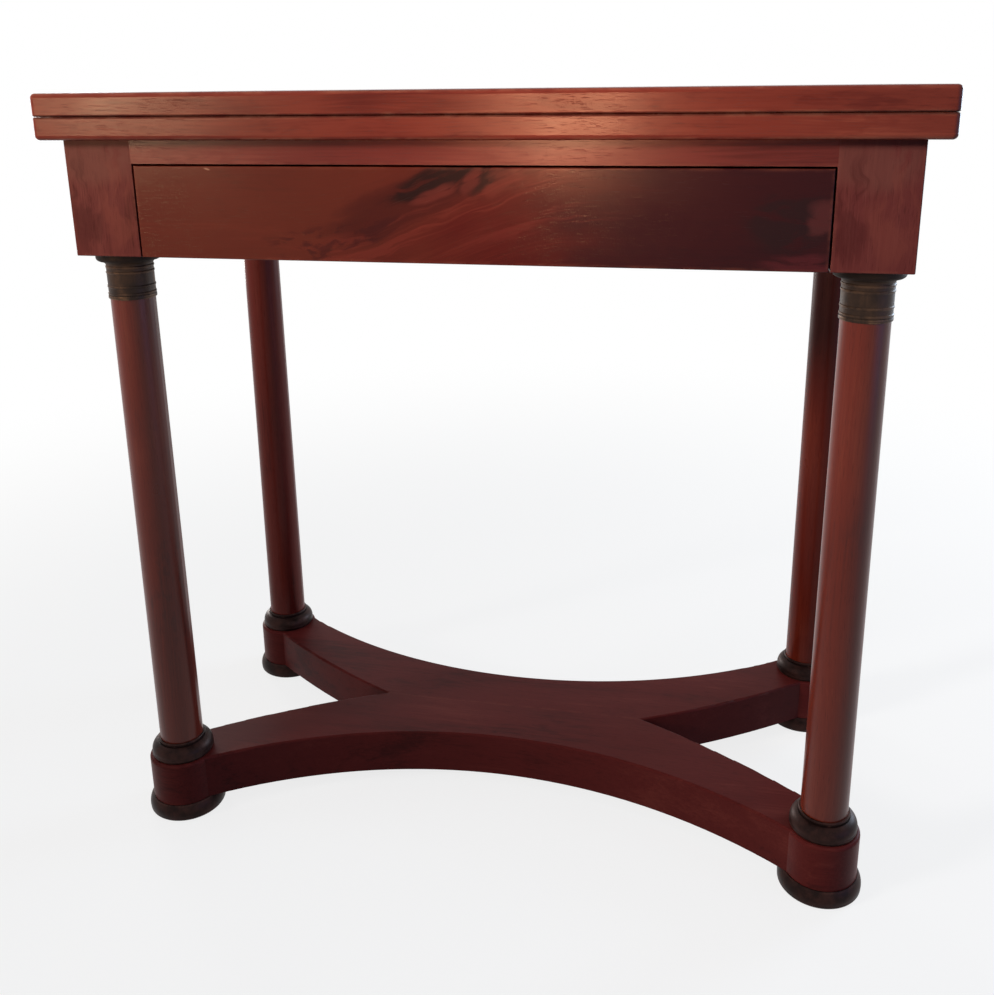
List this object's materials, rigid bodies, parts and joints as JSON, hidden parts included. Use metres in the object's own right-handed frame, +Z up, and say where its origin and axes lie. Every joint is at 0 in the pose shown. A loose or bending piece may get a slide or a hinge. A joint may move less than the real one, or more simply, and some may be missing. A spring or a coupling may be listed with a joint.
{
  "type": "games table",
  "caption": "Fold-over games table: a turning, unfolding top with baize playing faces on a frieze with a drawer, turned columns with bronze mounts, and a low X-shaped base on disc feet.",
  "frame": {"origin": "on the floor, under the middle of the table", "axes": "+X to the right along the table's length, +Y to the back, +Z up"},
  "size_m": [0.7674, 0.3893, 0.75],
  "materials": {
    "mahogany": "French polish",
    "flame_veneer": "French polish",
    "oak": "plain planed",
    "bronze": "dark patina",
    "brass": "aged",
    "iron": "dark, wrought",
    "baize": "felted wool"
  },
  "bodies": {
    "frame": {"base_dowels": "oak", "base_front": "mahogany", "base_rear": "mahogany", "base_ring_front_left": "bronze", "base_ring_front_right": "bronze", "base_ring_rear_left": "bronze", "base_ring_rear_right": "bronze", "capital_front_left": "bronze", "capital_front_right": "bronze", "capital_rear_left": "bronze", "capital_rear_right": "bronze", "column_front_left": "mahogany", "column_front_right": "mahogany", "column_rear_left": "mahogany", "column_rear_right": "mahogany", "corner_post_front_left": "mahogany", "corner_post_front_right": "mahogany", "corner_post_rear_left": "mahogany", "corner_post_rear_right": "mahogany", "drawer_guide_left": "oak", "drawer_guide_right": "oak", "drawer_kicker_left": "oak", "drawer_kicker_right": "oak", "drawer_runner_left": "oak", "drawer_runner_right": "oak", "foot_front_left": "bronze", "foot_front_right": "bronze", "foot_rear_left": "bronze", "foot_rear_right": "bronze", "front_lower_rail": "oak", "front_top_rail": "mahogany", "pivot_bush": "brass", "pivot_rail": "oak", "rear_rail": "mahogany", "side_rail_left": "mahogany", "side_rail_right": "mahogany", "stop_blocks": "oak"},
    "top": {"lower_leaf": "mahogany", "lower_baize": "baize", "pivot_plate": "iron", "pivot_plate_screws": "iron", "pivot_bolt": "iron", "pivot_washer": "iron", "pivot_nut": "iron", "stop_peg": "iron", "hinge_pins": "brass", "hinge_screws_lower": "brass", "hinge_plate_lower_left": "brass", "hinge_plate_lower_right": "brass"},
    "leaf": {"upper_leaf": "mahogany", "upper_baize": "baize", "hinge_screws_upper": "brass", "hinge_plate_upper_left": "brass", "hinge_plate_upper_right": "brass"},
    "drawer": {"drawer_front": "flame_veneer", "drawer_back": "oak", "drawer_bottom": "oak", "drawer_side_left": "oak", "drawer_side_right": "oak"}
  },
  "joints": [
    {"name": "top_swivel", "type": "hinge", "parent": "frame", "child": "top", "pos_m": [0.0953, 0.0953, 0.71], "axis": [0, 0, 1], "range_deg": [0, 90]},
    {"name": "leaf_unfold", "type": "hinge", "parent": "top", "child": "leaf", "pos_m": [0, 0.1906, 0.73], "axis": [-1, 0, 0], "range_deg": [0, 180]},
    {"name": "drawer_slide", "type": "slide", "parent": "frame", "child": "drawer", "axis": [0, -1, 0], "range_m": [0, 0.25]}
  ]
}
